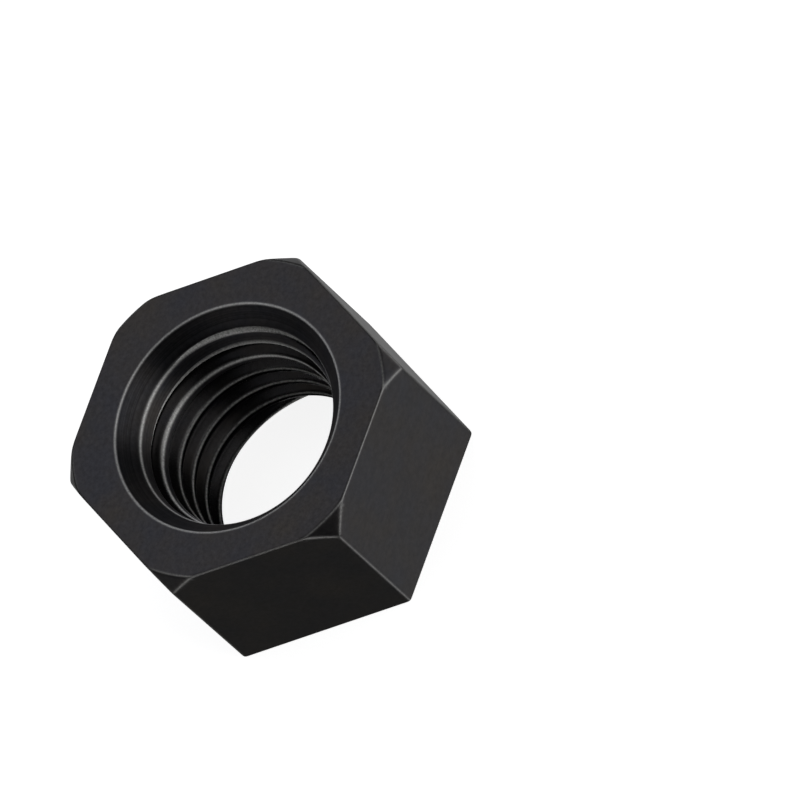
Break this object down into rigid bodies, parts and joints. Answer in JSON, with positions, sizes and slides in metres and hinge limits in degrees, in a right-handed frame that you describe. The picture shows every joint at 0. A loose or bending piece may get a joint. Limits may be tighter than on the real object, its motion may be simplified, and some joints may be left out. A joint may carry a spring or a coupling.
{
  "type": "hex nut",
  "caption": "Plain steel hexagon nut, black oxide finish, with a countersunk metric thread and its corners chamfered at one face.",
  "frame": {"origin": "centre of the flat bearing face, on the thread axis", "axes": "+Z along the thread axis from the bearing face to the countersunk face, +X towards a corner of the hexagon, +Y square to a pair of wrench flats"},
  "size_m": [0.0208, 0.018, 0.0106],
  "materials": {
    "black_oxide_steel": "black oxide, satin, lightly oiled"
  },
  "bodies": {
    "root": {"hex_nut": "black_oxide_steel"}
  },
  "joints": []
}
